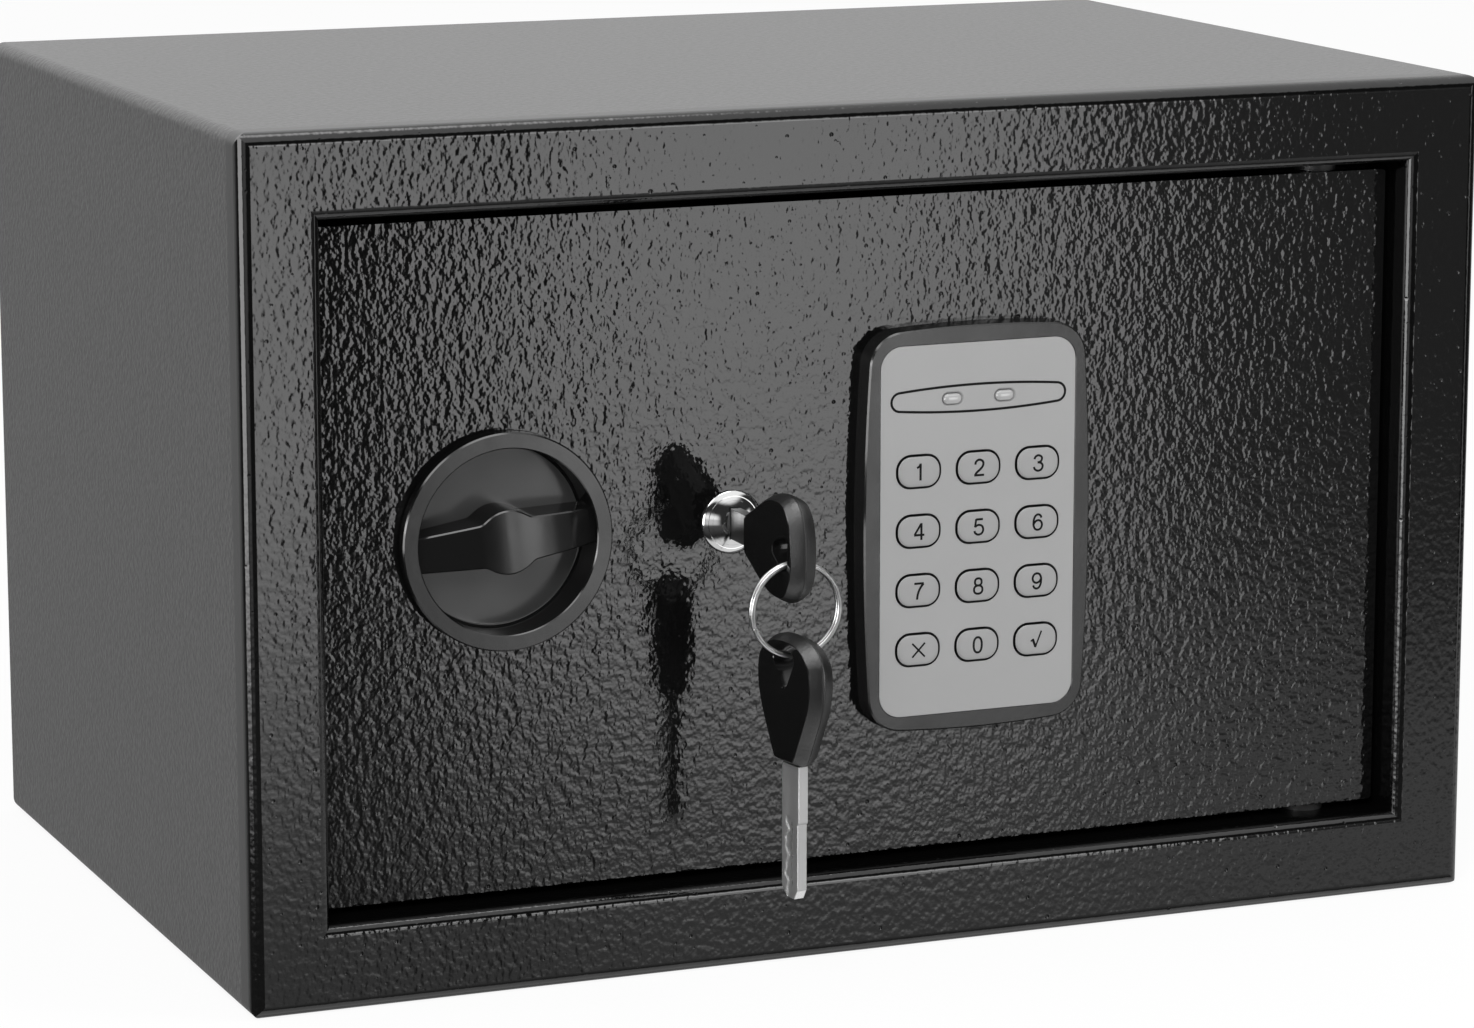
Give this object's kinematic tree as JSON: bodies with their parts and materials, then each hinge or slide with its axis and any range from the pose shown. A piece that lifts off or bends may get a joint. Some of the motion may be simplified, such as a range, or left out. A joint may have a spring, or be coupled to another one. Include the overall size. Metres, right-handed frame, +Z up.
{
  "type": "electronic safe",
  "caption": "Black steel safe with a right-hinged door, turning bolt knob, numeric keypad and override lock, with a key in the lock and a spare on its ring.",
  "frame": {"origin": "on the underside, below the centre of the cabinet", "axes": "+Z up, -Y out of the front, +X to the right of a person who faces the door; the door hinges at +X"},
  "size_m": [0.31, 0.251, 0.2],
  "materials": {
    "black_textured_paint": "glossy orange-peel powder coat",
    "body_paint": "satin powder coat",
    "cover_paint": "satin",
    "zinc_steel": "zinc plated",
    "polished_steel": "polished",
    "lock_chrome": "polished",
    "black_plastic": "semi-gloss",
    "keypad_black": "satin",
    "keypad_grey": "satin grey",
    "keycap_grey": "satin grey",
    "key_head_black": "gloss",
    "mat_felt": "felt",
    "rubber_grey": "soft",
    "circuit_green": "laminate",
    "lens_clear": "frosted",
    "cell_jacket": "printed sleeve, plain",
    "copper_coil": "wound wire",
    "wire_red": "sheath",
    "button_red": "satin"
  },
  "bodies": {
    "cabinet": {"body_shell": "body_paint", "front_frame": "black_textured_paint", "back_panel": "body_paint", "floor_mat": "mat_felt", "hinge_brackets": "zinc_steel", "hinge_pins": "polished_steel", "hinge_washers": "black_plastic"},
    "door": {"door_plate": "black_textured_paint", "hinge_lugs": "black_textured_paint", "door_cover": "cover_paint", "cover_screws": "zinc_steel", "knob_bush": "black_plastic", "lock_housing": "lock_chrome", "lock_nut": "zinc_steel", "keypad_housing": "keypad_black", "keypad_faceplate": "keypad_grey", "key_membrane": "rubber_grey", "keypad_board": "circuit_green", "led_lenses": "lens_clear", "keypad_screws": "zinc_steel", "control_board": "circuit_green", "battery_box": "keypad_black", "batteries": "cell_jacket", "battery_contacts": "polished_steel", "solenoid_frame": "zinc_steel", "solenoid_coil": "copper_coil", "plunger_spring": "polished_steel", "bolt_guide": "zinc_steel", "guide_studs": "polished_steel", "wiring": "wire_red"},
    "knob": {"knob_dial": "black_plastic", "knob_spindle": "zinc_steel", "knob_clip": "zinc_steel", "knob_crank": "zinc_steel"},
    "bolt_work": {"bolt_carriage": "zinc_steel", "locking_bolts": "polished_steel", "bolt_screws": "zinc_steel"},
    "plunger": {"solenoid_plunger": "polished_steel"},
    "lock_turn": {"lock_plug": "lock_chrome", "lock_cam": "zinc_steel", "cam_nut": "zinc_steel"},
    "lock_key": {"key_blade": "polished_steel", "key_head": "key_head_black"},
    "ring": {"key_ring": "polished_steel"},
    "spare_key": {"spare_key_blade": "polished_steel", "spare_key_head": "key_head_black"},
    "battery_lid": {"battery_cover": "keypad_black"},
    "reset": {"reset_button": "button_red"},
    "key_1_cap": {"key_1": "keycap_grey"},
    "key_2_cap": {"key_2": "keycap_grey"},
    "key_3_cap": {"key_3": "keycap_grey"},
    "key_4_cap": {"key_4": "keycap_grey"},
    "key_5_cap": {"key_5": "keycap_grey"},
    "key_6_cap": {"key_6": "keycap_grey"},
    "key_7_cap": {"key_7": "keycap_grey"},
    "key_8_cap": {"key_8": "keycap_grey"},
    "key_9_cap": {"key_9": "keycap_grey"},
    "key_clear_cap": {"key_clear": "keycap_grey"},
    "key_0_cap": {"key_0": "keycap_grey"},
    "key_enter_cap": {"key_enter": "keycap_grey"}
  },
  "joints": [
    {"name": "door_hinge", "type": "hinge", "parent": "cabinet", "child": "door", "pos_m": [0.1186, -0.09, 0.1], "axis": [0, 0, 1], "range_deg": [0, 100]},
    {"name": "knob_turn", "type": "hinge", "parent": "door", "child": "knob", "pos_m": [-0.091, -0.096, 0.1038], "axis": [0, -1, 0], "range_deg": [0, 90]},
    {"name": "bolt_slide", "type": "slide", "parent": "door", "child": "bolt_work", "axis": [-1, 0, 0], "range_m": [0, 0.01301]},
    {"name": "plunger_slide", "type": "slide", "parent": "door", "child": "plunger", "axis": [0, 0, -1], "range_m": [0, 0.005], "deforming": ["plunger_spring"]},
    {"name": "key_turn", "type": "hinge", "parent": "door", "child": "lock_turn", "pos_m": [-0.0352, -0.096, 0.1038], "axis": [0, -1, 0], "range_deg": [-90, 0]},
    {"name": "key_pull", "type": "slide", "parent": "lock_turn", "child": "lock_key", "axis": [0, -1, 0], "range_m": [0, 0.03]},
    {"name": "ring_swing", "type": "hinge", "parent": "lock_key", "child": "ring", "pos_m": [-0.0352, -0.1337, 0.10115], "axis": [-1, 0, 0], "range_deg": [-10, 75]},
    {"name": "spare_swing", "type": "hinge", "parent": "ring", "child": "spare_key", "pos_m": [-0.0352, -0.1337, 0.08005], "axis": [-1, 0, 0], "range_deg": [-12, 20]},
    {"name": "battery_lid_lift", "type": "slide", "parent": "door", "child": "battery_lid", "axis": [0, 1, 0], "range_m": [0, 0.02]},
    {"name": "reset_press", "type": "slide", "parent": "door", "child": "reset", "axis": [0, -1, 0], "range_m": [0, 0.0015], "stiffness_N_per_m": 300},
    {"name": "key_1_press", "type": "slide", "parent": "door", "child": "key_1_cap", "axis": [0, 1, 0], "range_m": [0, 0.0008], "stiffness_N_per_m": 400},
    {"name": "key_2_press", "type": "slide", "parent": "door", "child": "key_2_cap", "axis": [0, 1, 0], "range_m": [0, 0.0008], "stiffness_N_per_m": 400},
    {"name": "key_3_press", "type": "slide", "parent": "door", "child": "key_3_cap", "axis": [0, 1, 0], "range_m": [0, 0.0008], "stiffness_N_per_m": 400},
    {"name": "key_4_press", "type": "slide", "parent": "door", "child": "key_4_cap", "axis": [0, 1, 0], "range_m": [0, 0.0008], "stiffness_N_per_m": 400},
    {"name": "key_5_press", "type": "slide", "parent": "door", "child": "key_5_cap", "axis": [0, 1, 0], "range_m": [0, 0.0008], "stiffness_N_per_m": 400},
    {"name": "key_6_press", "type": "slide", "parent": "door", "child": "key_6_cap", "axis": [0, 1, 0], "range_m": [0, 0.0008], "stiffness_N_per_m": 400},
    {"name": "key_7_press", "type": "slide", "parent": "door", "child": "key_7_cap", "axis": [0, 1, 0], "range_m": [0, 0.0008], "stiffness_N_per_m": 400},
    {"name": "key_8_press", "type": "slide", "parent": "door", "child": "key_8_cap", "axis": [0, 1, 0], "range_m": [0, 0.0008], "stiffness_N_per_m": 400},
    {"name": "key_9_press", "type": "slide", "parent": "door", "child": "key_9_cap", "axis": [0, 1, 0], "range_m": [0, 0.0008], "stiffness_N_per_m": 400},
    {"name": "key_clear_press", "type": "slide", "parent": "door", "child": "key_clear_cap", "axis": [0, 1, 0], "range_m": [0, 0.0008], "stiffness_N_per_m": 400},
    {"name": "key_0_press", "type": "slide", "parent": "door", "child": "key_0_cap", "axis": [0, 1, 0], "range_m": [0, 0.0008], "stiffness_N_per_m": 400},
    {"name": "key_enter_press", "type": "slide", "parent": "door", "child": "key_enter_cap", "axis": [0, 1, 0], "range_m": [0, 0.0008], "stiffness_N_per_m": 400}
  ],
  "couplings": [
    {"joint": "bolt_slide", "follows": "knob_turn", "m_per_rad": 0.0082829}
  ]
}
